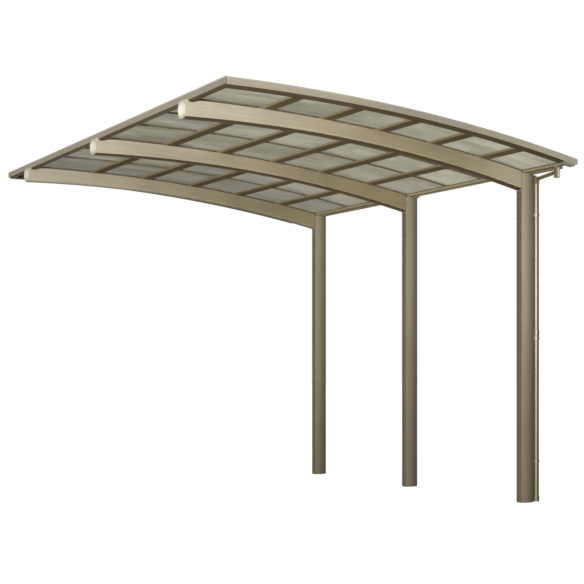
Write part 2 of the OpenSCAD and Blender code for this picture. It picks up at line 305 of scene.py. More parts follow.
def anodised(name, tone, axis, lighter=1.12, darker=0.88, rough=(0.48, 0.62), specular=0.02,
             metallic=0.0, wear=0.35, painted_light_run=None, across=None):
    """Satin anodised aluminium with drawn lines along one axis.

    The tones along the piece and the levels across it each come as an axis, its range and the tones
    or levels along it; both are painted light and shade.
    """
    mat, tree = material(name)
    coord = object_coord(tree)
    lines = noise(tree, stretched(tree, coord, axis, *LINE_SCALE), 1.0, 4.0)
    broad = noise(tree, stretched(tree, coord, axis, *BROAD_SCALE), 1.0, 2.0)
    cloud = noise(tree, coord, CLOUD_SCALE)
    speck = noise(tree, coord, SPECK_SCALE, 2.0)
    if painted_light_run:
        run, (start, end), tones = painted_light_run
        waver = spread(tree, noise(tree, coord, WAVER_SCALE, 2.0), -WAVER, WAVER)
        along = maths(tree, "ADD", place_on(tree, coord, run, start, end), waver, clamp=True)
        colour = shade(tree, ramp(tree, along, *tones), cloud,
                       *zip(CLOUD_AT, (darker, 1.0, lighter)))
    else:
        clouds = (scaled(tone, darker), tone, scaled(tone, lighter))
        colour = ramp(tree, cloud, *zip(CLOUD_AT, clouds))
    colour = shade(tree, colour, lines, *LINE_LEVELS)
    colour = shade(tree, colour, broad, *BROAD_LEVELS)
    if across:
        run, (start, end), levels = across
        colour = times(tree, colour, ramp(tree, place_on(tree, coord, run, start, end), *levels))
    worn = maths(tree, "MULTIPLY", edge_mask(tree, METAL_EDGE), wear)
    colour = mix_colour(tree, worn, colour, scaled(tone, *METAL_WORN))
    height = maths(tree, "ADD", maths(tree, "MULTIPLY", lines, LINE_SHARE),
                   maths(tree, "MULTIPLY", speck, SPECK_SHARE))
    shader = put(tree, "BsdfPrincipled", {
        "Base Color": colour, "Roughness": spread(tree, lines, *rough),
        "Normal": bumped(tree, *METAL_BUMP, height),
        "Specular IOR Level": specular, "Metallic": metallic})
    finish_with(tree, shader.outputs["BSDF"])
    return mat


# Plastic
SOIL_SCALE = 7.0
GRAIN_SCALE = 260.0
STREAK_SCALE = (2.0, 60.0)
SOILED = 0.9
SOIL_AT = (0.32, 0.6)
STREAK_LEVELS = ((0.25, 0.94), (0.7, 1.03))
PLASTIC_EDGE = 0.002
PLASTIC_WEAR = 0.25
PLASTIC_WORN = (1.2, 0.02)
PLASTIC_BUMP = (0.1, 0.0004)
SMOOTHER = 0.06
ROUGHER = 0.08


def plastic(name, tone, rough=0.38, specular=0.3, across=None):
    """Moulded plastic with a fine grain and slight soiling; the levels across it are painted shade.
    """
    mat, tree = material(name)
    coord = object_coord(tree)
    cloud = noise(tree, coord, SOIL_SCALE, 4.0)
    fine = noise(tree, coord, GRAIN_SCALE, 2.0)
    streak = noise(tree, stretched(tree, coord, "Z", *STREAK_SCALE), 1.0)
    colour = ramp(tree, cloud, *zip(SOIL_AT, (scaled(tone, SOILED), tone)))
    if across:
        run, (start, end), levels = across
        colour = times(tree, colour, ramp(tree, place_on(tree, coord, run, start, end), *levels))
    colour = shade(tree, colour, streak, *STREAK_LEVELS)
    worn = maths(tree, "MULTIPLY", edge_mask(tree, PLASTIC_EDGE), PLASTIC_WEAR)
    colour = mix_colour(tree, worn, colour, scaled(tone, *PLASTIC_WORN))
    shader = put(tree, "BsdfPrincipled", {
        "Base Color": colour, "Roughness": spread(tree, cloud, rough - SMOOTHER, rough + ROUGHER),
        "Normal": bumped(tree, *PLASTIC_BUMP, fine), "Specular IOR Level": specular})
    finish_with(tree, shader.outputs["BSDF"])
    return mat


# Pipe
EDGE_TINT = (0.30, 0.26, 0.19, 1.0)
# Painted shade on the pipe: it turns from the front tone to the dark side tone across this part of
# its radius, and darkens towards the ground
TURN_FROM, TURN_TO = 0.85, 0.15
PIPE_LIGHT_TOP = 2.0
PIPE_SHADE_LEVELS = ((0.0, 0.5), (0.5, 0.66), (0.85, 1.0))
PIPE_CLOUD_SCALE = 5.0
PIPE_CLOUD_LEVELS = ((0.3, 0.96), (0.7, 1.03))
PIPE_ROUGH = (0.53, 0.57)


def polished(name, front, side, axis_x, radius):
    """Polished bronze pipe with painted shade: darker on the side away from the roof and towards the
    ground.
    """
    mat, tree = material(name)
    coord = object_coord(tree)
    cloud = noise(tree, coord, PIPE_CLOUD_SCALE, 2.0)
    painted_shade = place_on(tree, coord, "X", axis_x - TURN_FROM * radius, axis_x - TURN_TO * radius)
    height = place_on(tree, coord, "Z", 0.0, PIPE_LIGHT_TOP)
    colour = mix_colour(tree, painted_shade, front, side)
    colour = shade(tree, colour, height, *PIPE_SHADE_LEVELS)
    colour = shade(tree, colour, cloud, *PIPE_CLOUD_LEVELS)
    shader = put(tree, "BsdfPrincipled", {
        "Base Color": colour, "Roughness": spread(tree, cloud, *PIPE_ROUGH),
        "Metallic": 1.0, "Specular Tint": EDGE_TINT})
    finish_with(tree, shader.outputs["BSDF"])
    return mat


# Sheets
# Painted light and shade on the sheets: a level for each sheet, darker towards the free edge, and
# streaks and patches of painted reflection
SHEET_OUTER_SHADE = (0.85, 0.86, 0.84, 1.0)
SHEET_PAINTED_LEVELS = (0.93, 0.87, 0.96, 0.77, 0.73, 0.73, 0.61, 0.57)
SHEET_MILK = (0.74, 0.73, 0.70, 1.0)
SHEET_TONES = (srgb(192, 189, 172), srgb(200, 197, 180), srgb(210, 206, 190))
TONE_AT = (0.3, 0.52, 0.75)
MARK_SCALE = (0.6, 13.0)
BAND_SCALE = (1.2, 3.0)
PANE_SCALE = (2.2, 6.5)
BLOCK_SCALE = (1.9, 9.0)
FINE_SCALE = 240.0
FINE_SHARE = 0.1
OUTWARD_RANGE = (-3.0, -0.3)
MARK_LEVELS = ((0.3, 0.86), (0.7, 1.08))
PANE_LEVELS = ((0.3, 0.88), (0.7, 1.08))
BLOCK_LEVELS = ((0.35, 0.72), (0.6, 1.12))
BLOCK_SHARE = 0.6
SHEET_BUMP = (0.02, 0.0004)
SHEET_ROUGH = (0.16, 0.26)
SHEET_SPECULAR = 0.5
SHEET_IOR = 1.08
SHEET_CLEAR = 0.85
MILK_GAMMA = 0.5
MILK_SHARE = 0.65


def smoked(name, level):
    """Smoked polycarbonate sheet, tinted and diffusing, with painted light and shade: a level for
    each sheet, darker towards the free edge, and streaks along it and faint pane-shaped and
    block-shaped patches of painted reflection; the streaks also set its roughness and bumps.
    """
    mat, tree = material(name)
    coord = object_coord(tree)
    marks = noise(tree, stretched(tree, coord, "X", *MARK_SCALE), 1.0, 2.0)
    bands = noise(tree, stretched(tree, coord, "X", *BAND_SCALE), 1.0, 1.0)
    fine = noise(tree, coord, FINE_SCALE, 2.0)
    pane_reflections = cells(tree, stretched(tree, coord, "X", *PANE_SCALE))
    blocks = cells(tree, stretched(tree, coord, "X", *BLOCK_SCALE))
    split = put(tree, "SeparateXYZ", {"Vector": coord})
    # Weight of painted shade: 1 at the free edge, 0 towards the posts
    painted_shade = spread(tree, split.outputs["X"], 1.0, 0.0, *OUTWARD_RANGE)
    colour = ramp(tree, bands, *zip(TONE_AT, SHEET_TONES))
    colour = shade(tree, colour, marks, *MARK_LEVELS)
    colour = shade(tree, colour, pane_reflections, *PANE_LEVELS)
    colour = times(tree, colour, grey(level))
    colour = mix_colour(tree, painted_shade, colour, SHEET_OUTER_SHADE, "MULTIPLY")
    painted_blocks = ramp(tree, blocks, *((place, grey(v)) for place, v in BLOCK_LEVELS))
    colour = mix_colour(tree, maths(tree, "MULTIPLY", painted_shade, BLOCK_SHARE), colour, painted_blocks, "MULTIPLY")
    height = maths(tree, "ADD", marks, maths(tree, "MULTIPLY", fine, FINE_SHARE))
    normal = bumped(tree, *SHEET_BUMP, height)
    body = put(tree, "BsdfPrincipled", {
        "Base Color": colour, "Roughness": spread(tree, marks, *SHEET_ROUGH), "Normal": normal,
        "Specular IOR Level": SHEET_SPECULAR, "IOR": SHEET_IOR, "Transmission Weight": SHEET_CLEAR})
    through = put(tree, "Gamma", {"Color": times(tree, colour, SHEET_MILK), "Gamma": MILK_GAMMA})
    milk = put(tree, "BsdfTranslucent", {"Color": through.outputs["Color"], "Normal": normal})
    finish_with(tree, join(tree, "MixShader", body.outputs["BSDF"], milk.outputs["BSDF"],
                           {"Fac": MILK_SHARE}))
    return mat


# Tones, some of them changing along a piece: axis, range, stops. The changes along and across the
# pieces are painted light and shade.
PALE = srgb(178, 168, 146)
VERGE = srgb(164, 156, 137)
EAVE = srgb(130, 124, 108)
POST_TONE = srgb(144, 136, 115)
# Dark tone of the post sides: painted shade
POST_SIDE_SHADE = srgb(112, 97, 71)
# Dark bronze of joints, caps, beads and frames; on the verge and eave frames it is partly their own
# colour and partly painted shade under the covers
DARK = srgb(86, 71, 47)
# Painted shade at the top and bottom of the beam caps
CAP_SHADE = (0.50, 0.48, 0.43, 1.0)
WHITE = grey(1.0)
BEAM_RUN = (-3.0, -0.1)
POST_HEIGHT = (0.0, 1.9)
# Painted light and shade along the near beam: light at the free end, darker past the middle, light
# again at the post
NEAR_BEAM_PAINTED_LIGHT = ("X", BEAM_RUN, (
    (0.0, srgb(189, 181, 161)), (0.38, srgb(173, 162, 136)), (0.6, srgb(155, 144, 114)),
    (0.78, srgb(157, 146, 116)), (1.0, srgb(184, 173, 147))))
# Painted light and shade along the middle and far beams: light at the free end, darker towards the
# posts
OTHER_BEAMS_PAINTED_LIGHT = ("X", BEAM_RUN, (
    (0.0, srgb(185, 176, 155)), (0.2, srgb(179, 169, 146)), (0.38, srgb(165, 154, 128)),
    (0.7, srgb(144, 133, 104)), (1.0, srgb(144, 132, 101))))
# Painted shade along the posts, darker towards the ground; the near post is painted lighter than the
# others
POST_PAINTED_SHADE = ("Z", POST_HEIGHT, (
    (0.0, srgb(122, 113, 92)), (0.5, srgb(133, 124, 102)), (0.8, srgb(148, 140, 119)),
    (1.0, srgb(152, 144, 123))))
BACK_POST_PAINTED_SHADE = ("Z", POST_HEIGHT, (
    (0.0, srgb(116, 107, 87)), (0.5, srgb(126, 117, 96)), (1.0, srgb(138, 130, 110))))
# Painted light along the verge covers, lighter towards the posts
VERGE_PAINTED_LIGHT = ("X", (-3.0, 0.1), (
    (0.0, VERGE), (0.3, VERGE), (0.5, srgb(157, 149, 130)), (0.82, srgb(175, 167, 146)),
    (1.0, srgb(194, 187, 166))))
# Painted light and shade along the eave cover, darker towards -Y
EAVE_PAINTED_LIGHT = ("Y", (-2.0, 2.0), (
    (0.0, EAVE), (0.35, srgb(137, 130, 113)), (1.0, srgb(150, 143, 125))))
# Painted shading across the rounded post fronts: lighter on the -X side, darkest two thirds of the
# way towards +X
POST_ROUND_SHADING = ("X", (-POST_FACE, POST_FACE), (
    (0.0, grey(1.12)), (0.33, grey(1.02)), (0.68, grey(0.80)), (1.0, grey(0.96))))
# Painted shading over the height of the beam caps: darker at top and bottom, lightest in the middle
cap_box = [corner[2] for corner in NODES["beam_end_caps"].bound_box]
CAP_SHADING = ("Z", (min(cap_box), max(cap_box)), (
    (0.0, CAP_SHADE), (0.3, WHITE), (0.62, WHITE), (1.0, CAP_SHADE)))
# Painted shade on the -X side of the drain outlet
OUTLET_SHADE_SIDE = ("X", (OUTLET_AT[0] - OUTLET_SIZE / 2, OUTLET_AT[0]), (
    (0.40, grey(0.22)), (0.52, WHITE)))
EVEN = {"lighter": 1.05, "darker": 0.95}

# Beams, verge, eave and posts carry painted light and shade along them, the posts also painted
# shading across their fronts; the near beam and near post are separately lit copies of the others
near_beam = anodised("near_beam_bronze", PALE, "X", painted_light_run=NEAR_BEAM_PAINTED_LIGHT, **EVEN)
beam_pale = anodised("beam_bronze", PALE, "X", painted_light_run=OTHER_BEAMS_PAINTED_LIGHT, **EVEN)
verge_pale = anodised("verge_bronze", VERGE, "X", painted_light_run=VERGE_PAINTED_LIGHT, **EVEN)
eave_pale = anodised("eave_bronze", EAVE, "Y", painted_light_run=EAVE_PAINTED_LIGHT, **EVEN)
gutter_pale = anodised("gutter_bronze", srgb(148, 138, 110), "Y")
post_pale = anodised("post_bronze", POST_TONE, "Z", painted_light_run=POST_PAINTED_SHADE, across=POST_ROUND_SHADING, **EVEN)
post_back = anodised("back_post_bronze", POST_TONE, "Z", painted_light_run=BACK_POST_PAINTED_SHADE,
                     across=POST_ROUND_SHADING, **EVEN)
dark_x = anodised("dark_bronze_x", DARK, "X", wear=0.2, specular=0.05)
bar_tone = anodised("bar_bronze", srgb(136, 120, 92), "X", wear=0.2)
post_side_shade = anodised("post_side_shade_bronze", POST_SIDE_SHADE, "Z", wear=0.3)
dark_y = anodised("dark_bronze_y", DARK, "Y", wear=0.2, specular=0.05)
purlin_tone = anodised("purlin_bronze", srgb(130, 116, 88), "Y", wear=0.15, specular=0.0)
sheet_mats = [("roof_panel_%d" % n, smoked("smoked_sheet_%d" % n, level))
              for n, level in enumerate(SHEET_PAINTED_LEVELS, 1)]
cream_mat = plastic("cap_cream", srgb(212, 208, 190), rough=0.4, specular=0.1, across=CAP_SHADING)
drain_mat = plastic("drain_beige", srgb(196, 183, 156), rough=0.34)
outlet_mat = plastic("outlet_beige", srgb(216, 207, 181), rough=0.34, across=OUTLET_SHADE_SIDE)
# Downpipe with a pale front and a dark side of painted shade
pipe_mat = polished("pipe_bronze", srgb(176, 167, 144), srgb(84, 72, 52),
                    PIPE_AT[0], PIPE_SIZE / 2)
tube_mat = plastic("tube_bronze", srgb(128, 112, 84), rough=0.4, specular=0.1)
fascia = anodised("fascia_bronze", srgb(136, 121, 90), "Y", wear=0.1)
# Pale tone of the painted highlights on the cover edges
edge_highlight = anodised("edge_highlight_bronze", srgb(196, 189, 172), "X", wear=0.2)
gasket = plastic("grey_gasket", srgb(208, 205, 190), rough=0.6, specular=0.02)
rubber = plastic("rubber", srgb(104, 90, 66), rough=0.7, specular=0.02)
steel = anodised("screw_steel", srgb(158, 152, 138), "Z", specular=0.3, metallic=0.5,
                 rough=(0.3, 0.45))

# The first start that fits a node's name gives its material
BY_NAME = (
    *sheet_mats, ("beam_end_caps", cream_mat), ("beam_sockets", dark_y), ("beam_near", near_beam),
    ("beam_", beam_pale), ("post_caps", dark_y), ("post_near", post_pale), ("post_", post_back),
    ("purlin", purlin_tone), ("roof_bar", bar_tone), ("eave_frame", dark_y),
    ("near_verge_frame", dark_x), ("far_verge_frame", dark_x), ("near_verge_cover", verge_pale),
    ("far_verge_cover", verge_pale), ("verge_end_caps", verge_pale), ("eave_cover", eave_pale),
    ("gutter_end_caps", drain_mat), ("gutter", gutter_pale), ("drain_tube", tube_mat),
    ("drain_outlet", outlet_mat), ("drain_", drain_mat), ("downpipe", pipe_mat),
    ("pipe_clips", pipe_mat))

for name, obj in NODES.items():
    tone = next(m for start, m in BY_NAME if name.startswith(start))
    obj.data.materials.clear()
    obj.data.materials.append(tone)


# Mesh helpers
SMOOTH_LIMIT = math.radians(35.0)
ROD_EASE = 0.4
ROD_TIP = 0.6
SUNK = 0.001
WASHER = 0.0013
SCREW_WASHER = ((1.5, -SUNK), (1.5, 0.0008), (1.35, 0.0012))
SCREW_HEAD = ((1.0, 0.0), (1.0, 0.5), (0.8, 0.88), (0.42, 1.0), (0.3, 0.35))
SCREW_RISE = 0.003
BOLT_SIZE = 0.008
BOLT_RISE = 0.006
BOLT_WASHER = ((1.35, -SUNK), (1.35, 0.0012), (1.2, 0.0018), (0.5, 0.0018))
BOLT_HEAD = ((1.0, 0.001), (1.0, BOLT_RISE), (0.82, BOLT_RISE * 1.15), (0.3, BOLT_RISE * 1.15))
FACE_BACK = Matrix.Rotation(math.pi / 2, 4, "Y")
FACE_FRONT = Matrix.Rotation(-math.pi / 2, 4, "Y")


def make(name, bm, mat):
    """Finished piece from a bmesh, riding on the one body."""
    bmesh.ops.recalc_face_normals(bm, faces=bm.faces)
    for face in bm.faces:
        face.smooth = True
    for edge in bm.edges:
        if len(edge.link_faces) == 2:
            edge.smooth = edge.calc_face_angle() < SMOOTH_LIMIT
    mesh = bpy.data.meshes.new(name)
    bm.to_mesh(mesh)
    bm.free()
    mesh.materials.append(mat)
    obj = bpy.data.objects.new(name, mesh)
    scene.collection.objects.link(obj)
    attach(obj, "root")
    return obj


def loft(bm, rings):
    """Skin between rings of points, with end faces."""
    verts = [[bm.verts.new(p) for p in ring] for ring in rings]
    n = len(rings[0])
    for a, b in zip(verts, verts[1:]):
        for i in range(n):
            j = (i + 1) % n
            bm.faces.new((a[i], a[j], b[j], b[i]))
    bm.faces.new(list(reversed(verts[0])))
    bm.faces.new(verts[-1])


def lathe(bm, at, profile, seg=16):
    """Solid of revolution about the local z axis of a matrix; profile is (radius, height)."""
    rings = []
    for r, h in profile:
        rings.append([at @ Vector((r * math.cos(2 * math.pi * k / seg),
                                   r * math.sin(2 * math.pi * k / seg), h)) for k in range(seg)])
    loft(bm, rings)


def screw(bm, at, head, rise=SCREW_RISE):
    """Pan-head screw on a washer, with a recess."""
    lathe(bm, at, [(head * k, h) for k, h in SCREW_WASHER]
          + [(head * k, WASHER + rise * h) for k, h in SCREW_HEAD])


def hex_bolt(bm, at):
    """Hexagon head on a round washer."""
    for profile, seg in ((BOLT_WASHER, 24), (BOLT_HEAD, 6)):
        lathe(bm, at, [(BOLT_SIZE * k, h) for k, h in profile], seg)


def sweep(bm, point, x0, x1, profile, steps):
    """Profile of (y, up) points carried along a curve from x0 to x1."""
    loft(bm, [[point(x0 + (x1 - x0) * k / steps, y, up) for y, up in profile]
              for k in range(steps + 1)])


def sweep_roof(bm, x0, x1, profile, steps=48):
    """Profile carried along the roof curve."""
    sweep(bm, roof_point, x0, x1, profile, steps)


def round_profile(y, up, r, n=10):
    return [(y + r * math.cos(2 * math.pi * k / n), up + r * math.sin(2 * math.pi * k / n))
            for k in range(n)]


def rod(bm, a, b, r, n=10):
    """Round rod from a to b."""
    axis = (Vector(b) - Vector(a))
    turn = axis.to_track_quat("Z", "Y").to_matrix().to_4x4()
    lathe(bm, Matrix.Translation(a) @ turn,
          [(r * ROD_TIP, 0.0), (r, r * ROD_EASE), (r, axis.length - r * ROD_EASE),
           (r * ROD_TIP, axis.length)], n)


def block(bm, lo, hi, ease):
    """Box with eased edges."""
    part = bmesh.new()
    bmesh.ops.create_cube(part, size=1.0)
    size = Vector(hi) - Vector(lo)
    for v in part.verts:
        v.co = Vector(lo) + Vector((size[i] * (v.co[i] + 0.5) for i in range(3)))
    bmesh.ops.bevel(part, geom=part.edges[:], offset=ease, segments=2, affect="EDGES", profile=0.7)
    mesh = bpy.data.meshes.new("part")
    part.to_mesh(mesh)
    part.free()
    bm.from_mesh(mesh)
    bpy.data.meshes.remove(mesh)


def stretches(end, places, half):
    """Stretches (a, b) from -end to end that leave out a width around each place."""
    edges = [-end] + [y + s * half for y in places for s in (-1, 1)] + [end]
    return list(zip(edges[0::2], edges[1::2]))


# Sealing strips between sheets and bars
SEAL = 0.0010
SEAL_OUT = 0.0004
GASKET_IN = 0.0002
GASKET_OUT = 0.0014
GASKET_LIP = 0.0010
GASKET_LIFT = 0.0002
GASKET_FOOT = 0.0030
GASKET_SHOULDER = 0.0025
GASKET_TOP = 0.0012
seals, gaskets = bmesh.new(), bmesh.new()
for y in BAR_Y:
    for side in (-1, 1):
        sweep_roof(seals, SHEET_X0, SHEET_X1,
                   round_profile(y + side * (BAR_HALF + SEAL_OUT), SHEET_LOW - SEAL, SEAL))
        inner, outer = y + side * (BAR_HALF - GASKET_IN), y + side * (BAR_HALF + GASKET_OUT)
        sweep_roof(gaskets, SHEET_X0, SHEET_X1, [
            (inner, SHEET_TOP + GASKET_LIFT), (outer + side * GASKET_LIP, SHEET_TOP + GASKET_LIFT),
            (outer, SHEET_TOP + GASKET_FOOT), (outer, BAR_TOP - GASKET_SHOULDER),
            (inner, BAR_TOP - GASKET_TOP)])
make("bar_seals", seals, rubber)
make("bar_gaskets", gaskets, gasket)

# Screws on the bars over each purlin, and along the edge covers
BAR_SCREW = (0.0055, 0.0035)
COVER_SCREW = 0.005
VERGE_SCREWS, VERGE_FROM, VERGE_STEP, VERGE_INSET = 8, -2.9, 0.41, 0.030
EAVE_SCREWS, EAVE_FROM, EAVE_STEP, EAVE_SHIFT = 11, -1.9, 0.38, -0.018
bm = bmesh.new()
for y in BAR_Y:
    for x in PURLIN_X:
        screw(bm, roof_frame(x, y, BAR_TOP), *BAR_SCREW)
for side in (-1, 1):
    for k in range(VERGE_SCREWS):
        x = VERGE_FROM + k * VERGE_STEP
        screw(bm, roof_frame(x, side * (HALF - VERGE_INSET), COVER_RISE), COVER_SCREW)
for k in range(EAVE_SCREWS):
    at = roof_point(-EAVE_IN, EAVE_FROM + k * EAVE_STEP, COVER_RISE) + Vector((EAVE_SHIFT, 0.0, 0.0))
    screw(bm, Matrix.Translation(at), COVER_SCREW)
make("roof_screws", bm, steel)

# Drip beads along the lower edge of the covers
BEAD = 0.0028
BEAD_START = 0.014
BEAM_ROOM = 0.002
EAVE_LINE = roof_point(-EAVE_IN, 0.0, 0.0).z
EAVE_LOW = EAVE_LINE - COVER_DROP
bm = bmesh.new()
for side in (-1, 1):
    sweep_roof(bm, -EAVE_OUT + BEAD_START, ROOF_BACK,
               round_profile(side * (HALF - BEAD), -COVER_DROP, BEAD))
make("verge_beads", bm, verge_pale)
bm = bmesh.new()
for a, b in stretches(HALF, POST_Y, BEAM_WIDTH / 2 + BEAM_ROOM):
    rod(bm, (-EAVE_OUT + BEAD, a, EAVE_LOW), (-EAVE_OUT + BEAD, b, EAVE_LOW), BEAD)
make("eave_bead", bm, eave_pale)

# Dark skins of painted shade along the rounded undersides of the near and middle beams
SOFFIT_SHADE_THICK = 0.0007
SOFFIT_SHADE_GAP = 0.001
SOFFIT_RINGS = 64
SOFFIT_STEPS = 10
SOFFIT_START = math.radians(30)


def soffit_profile(middle, r):
    """Rounded edges and flat bottom of a beam at a radius, as (y, up) points."""
    flat = BEAM_WIDTH / 2 - BEAM_ROUND
    span = math.pi / 2 - SOFFIT_START
    turn = [SOFFIT_START + k / SOFFIT_STEPS * span for k in range(SOFFIT_STEPS + 1)]
    points = []
    for side in (1, -1):
        arc = [(middle + side * (flat + r * math.cos(a)), BEAM_ROUND - r * math.sin(a)) for a in turn]
        points += arc if side > 0 else arc[::-1]
    return points


bm = bmesh.new()
for y in POST_Y[:2]:
    outline = soffit_profile(y, BEAM_ROUND + SOFFIT_SHADE_THICK) + soffit_profile(y, BEAM_ROUND)[::-1]
    sweep(bm, under_point, -BEAM_REACH + CAP_LENGTH + SOFFIT_SHADE_GAP, -POST_FACE - SOCKET - SOFFIT_SHADE_GAP,
          outline, SOFFIT_RINGS)
make("beam_soffit_shade", bm, dark_x)

# Corner trims at the two outer corners
CORNER = 0.0034
CORNER_INSET = 0.0024
CORNER_BELOW = 0.003
bm = bmesh.new()
for side in (-1, 1):
    x, y = -EAVE_OUT + CORNER_INSET, side * (HALF - CORNER_INSET)
    rod(bm, (x, y, EAVE_LOW), (x, y, EAVE_LOW + COVER_DROP + COVER_RISE - CORNER_BELOW), CORNER, 12)
make("corner_trims", bm, eave_pale)

# Bolts through the post backs, apart from where the pipe runs, and screws on the inner sides
POST_SKIN = 0.0008
BOLT_Z = (2.525, 2.605)
BOLT_SIDE = 0.016
POST_SCREW_Z = (2.25, 2.46)
POST_SCREW_SIDE = 0.020
POST_SCREW = 0.0045
bm = bmesh.new()
for y in POST_Y:
    for z in BOLT_Z:
        for dy in (-BOLT_SIDE, BOLT_SIDE):
            if dy < 0 and y == POST_Y[0]:
                continue
            hex_bolt(bm, Matrix.Translation((POST_FACE + POST_SKIN, y + dy, z)) @ FACE_BACK)
make("post_bolts", bm, steel)
bm = bmesh.new()
for y in POST_Y:
    for z in POST_SCREW_Z:
        at = Matrix.Translation((-POST_FACE - POST_SKIN, y + POST_SCREW_SIDE, z))
        screw(bm, at @ FACE_FRONT, POST_SCREW)
make("post_screws", bm, steel)

# Dark skins on the flat sides of the posts: painted shade
SKIN_SUNK = 0.0004
SKIN_INSET = 0.0015
SKIN_FOOT = 0.002
SKIN_BELOW = 0.003
SKIN_EASE = 0.0004
bm = bmesh.new()
for y in POST_Y:
    for side, top in ((-1, HEADROOM), (1, POST_TOP)):
        x0, x1 = sorted((side * (POST_FACE - SKIN_SUNK), side * (POST_FACE + POST_SKIN)))
        block(bm, (x0, y - POST_FLAT / 2 + SKIN_INSET, SKIN_FOOT),
              (x1, y + POST_FLAT / 2 - SKIN_INSET, top - SKIN_BELOW), SKIN_EASE)
make("post_side_shade_skins", bm, post_side_shade)

# Pipe joints: (out, height) steps from the pipe's own radius
PIPE_R = PIPE_SIZE / 2
JOINT_Z = (0.0245, 1.36)
JOINT = ((-0.001, -0.022), (0.0022, -0.020), (0.0026, 0.0), (0.0022, 0.020), (-0.001, 0.022))
bm = bmesh.new()
for z in JOINT_Z:
    lathe(bm, Matrix.Translation((*PIPE_AT, z)), [(PIPE_R + out, h) for out, h in JOINT], 32)
make("pipe_joints", bm, pipe_mat)

# Web between the downpipe and the post, with a block at its head, in the dark painted-shade tone of
# the post sides
WEB_GAP = 0.0002
WEB_EASE = 0.0006
WEB_Y = (0.002, 0.008)
WEB_Z = (0.004, 2.575)
WEB_SHORT = 0.010
HEAD_Y = (0.018, 0.024)
HEAD_FROM = 2.46
HEAD_BELOW = 0.002
HEAD_INSET = 0.001
bm = bmesh.new()
block(bm, (POST_FACE + WEB_GAP, PIPE_AT[1] + WEB_Y[0], WEB_Z[0]),
      (PIPE_AT[0] - WEB_SHORT, PIPE_AT[1] + WEB_Y[1], WEB_Z[1]), WEB_EASE)
block(bm, (POST_FACE + WEB_GAP, PIPE_AT[1] + HEAD_Y[0], HEAD_FROM),
      (PIPE_AT[0] + PIPE_R - HEAD_INSET, PIPE_AT[1] + HEAD_Y[1], POST_TOP - HEAD_BELOW), WEB_EASE)
make("pipe_web", bm, post_side_shade)

# Painted highlights: pale rods along the upper edges of the covers
EDGE = 0.007
EDGE_PROUD = 0.0004
EDGE_START = 0.010
EDGE_SHORT = 0.004
bm = bmesh.new()
for side in (-1, 1):
    sweep_roof(bm, -EAVE_OUT + EDGE_START, ROOF_BACK,
               round_profile(side * (HALF - EDGE), COVER_RISE - EDGE, EDGE + EDGE_PROUD))
top = EAVE_LINE + COVER_RISE - EDGE
rod(bm, (-EAVE_OUT + EDGE, -HALF + EDGE_SHORT, top), (-EAVE_OUT + EDGE, HALF - EDGE_SHORT, top),
    EDGE + EDGE_PROUD)
make("cover_edge_highlights", bm, edge_highlight)

# Closing beads at the sheet ends and beside the gutter, straps in the gutter
GUTTER_BEAD = 0.0035
GUTTER_BEAD_OUT = 0.002
STRAPS, STRAP_FROM, STRAP_STEP = 9, -1.8, 0.45
STRAP_INSET = 0.0025
STRAP_HALF = 0.009
STRAP_THICK = 0.0016
STRAP_EASE = 0.0005
middle = (SHEET_LOW + SHEET_TOP) / 2
bm = bmesh.new()
for a, b in stretches(FRAME_IN, BAR_Y, BAR_HALF):
    for x, up, r in ((SHEET_X1, middle, BEAD),
                     (GUTTER_X0 - GUTTER_BEAD_OUT, middle - GUTTER_BEAD, GUTTER_BEAD)):
        rod(bm, roof_point(x, a, up), roof_point(x, b, up), r)
make("sheet_end_beads", bm, dark_y)
bm = bmesh.new()
for k in range(STRAPS):
    y = STRAP_FROM + k * STRAP_STEP
    block(bm, (GUTTER_X0 + STRAP_INSET, y - STRAP_HALF, GUTTER_STRAP),
          (GUTTER_X1 - STRAP_INSET, y + STRAP_HALF, GUTTER_STRAP + STRAP_THICK), STRAP_EASE)
make("gutter_straps", bm, steel)

# Fascia under the gutter between the posts, its beads, brackets over the posts
FASCIA_END = 1.905
FASCIA_DROP = (0.017, 0.008, 0.015, 0.015)
FASCIA_LOOK = (fascia, gutter_pale, fascia, fascia)
FASCIA_X = (GUTTER_X1 - 0.005, GUTTER_X1 - 0.0005)
FASCIA_LAP = 0.0006
FASCIA_EASE = 0.0008
FASCIA_BEAD = 0.0032
FASCIA_BEAD_X = GUTTER_X1 - 0.0027
POST_GAP = POST_DEPTH / 2 + 0.004
BRACKET_X = (GUTTER_X1 + 0.0004, POST_FACE + 0.022)
BRACKET_Z = (POST_TOP + 0.0042, POST_TOP + 0.0085)
BRACKET_EASE = 0.001
BRACKET_BEAD = 0.0022
BRACKET_BEAD_X = GUTTER_X1 - 0.001
BRACKET_BEAD_Z = GUTTER_FLOOR - 0.0005
beads = bmesh.new()
for look, title in ((fascia, "gutter_fascia"), (gutter_pale, "gutter_fascia_pale")):
    bm = bmesh.new()
    for (a, b), drop, own in zip(stretches(FASCIA_END, POST_Y, POST_GAP), FASCIA_DROP, FASCIA_LOOK):
        if own is not look:
            continue
        low = GUTTER_FLOOR - drop
        block(bm, (FASCIA_X[0], a, low), (FASCIA_X[1], b, GUTTER_FLOOR + FASCIA_LAP), FASCIA_EASE)
        if look is fascia:
            rod(beads, (FASCIA_BEAD_X, a, low), (FASCIA_BEAD_X, b, low), FASCIA_BEAD)
    make(title, bm, look)
make("fascia_beads", beads, dark_y)
bm = bmesh.new()
for y in POST_Y:
    y0, y1 = y - POST_GAP, y + POST_GAP
    block(bm, (BRACKET_X[0], y0, BRACKET_Z[0]), (BRACKET_X[1], y1, BRACKET_Z[1]), BRACKET_EASE)
    rod(bm, (BRACKET_BEAD_X, y0, BRACKET_BEAD_Z), (BRACKET_BEAD_X, y1, BRACKET_BEAD_Z), BRACKET_BEAD)
